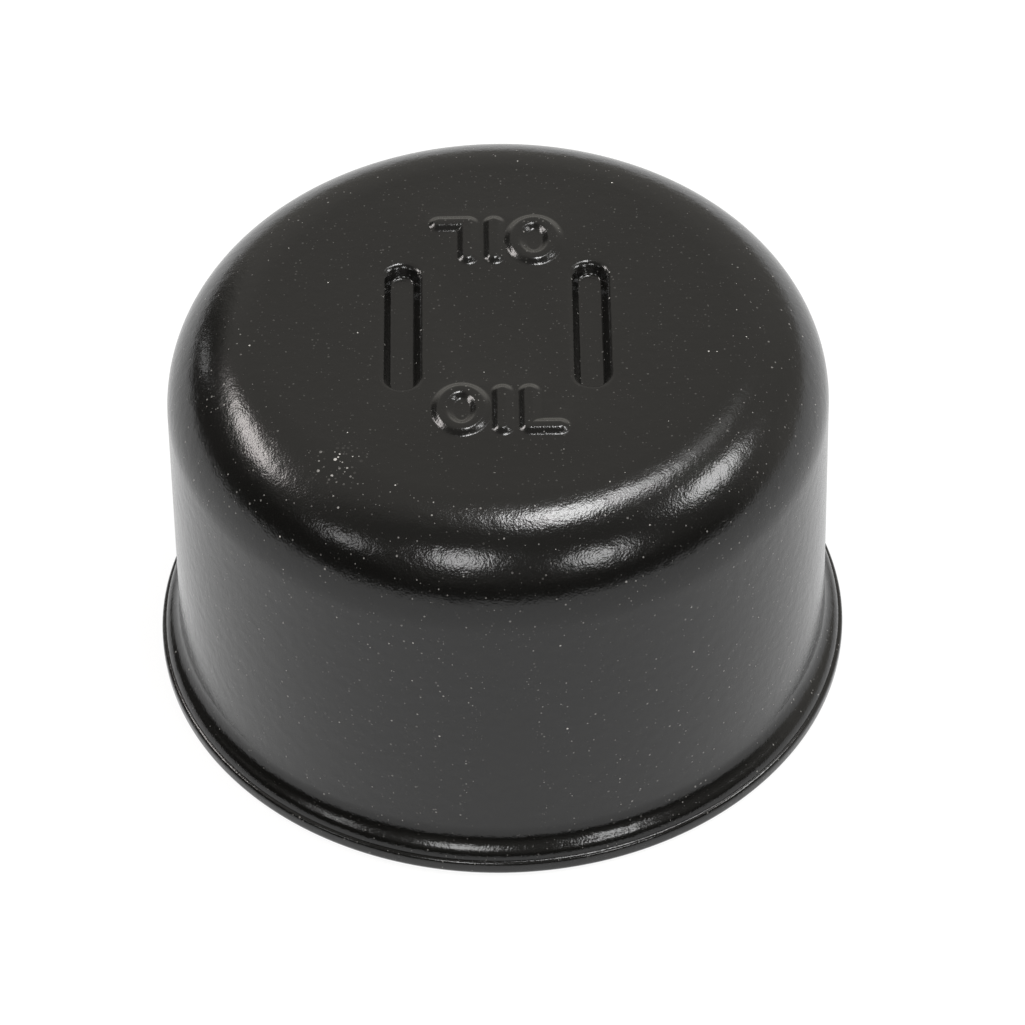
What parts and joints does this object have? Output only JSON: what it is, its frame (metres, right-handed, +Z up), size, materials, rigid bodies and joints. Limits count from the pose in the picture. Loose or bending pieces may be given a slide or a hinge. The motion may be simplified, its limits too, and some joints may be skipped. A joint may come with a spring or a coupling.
{
  "type": "oil filler cap",
  "caption": "Push-on breathing oil filler cap: round drawn steel cover over a neck sleeve with a spring clip, gasket, baffle and wire gauze filter.",
  "frame": {"origin": "centre of the rim's underside, on the surface that the cap stands on", "axes": "+Z up along the cap's axis, from the rim to the flat top; X across the two slots in the top; Y along them"},
  "size_m": [0.0762, 0.0762, 0.0457],
  "materials": {
    "cover_paint": "semi-gloss black enamel with fine orange peel",
    "pan_paint": "semi-gloss black enamel",
    "sleeve_steel": "zinc-plated drawn steel",
    "baffle_steel": "zinc-plated steel",
    "gasket_rubber": "matt black moulded rubber",
    "clip_steel": "oil-blackened spring steel",
    "rivet_steel": "bright steel",
    "gauze_wire": "oiled knitted steel wire",
    "screen_steel": "perforated plated steel"
  },
  "bodies": {
    "root": {"cover_shell": "cover_paint", "base_pan": "pan_paint", "neck_sleeve": "sleeve_steel", "splash_baffle": "baffle_steel", "neck_gasket": "gasket_rubber", "retaining_clip": "clip_steel", "clip_rivets": "rivet_steel", "gauze_pack": "gauze_wire", "upper_screen": "screen_steel", "lower_screen": "screen_steel"}
  },
  "joints": []
}
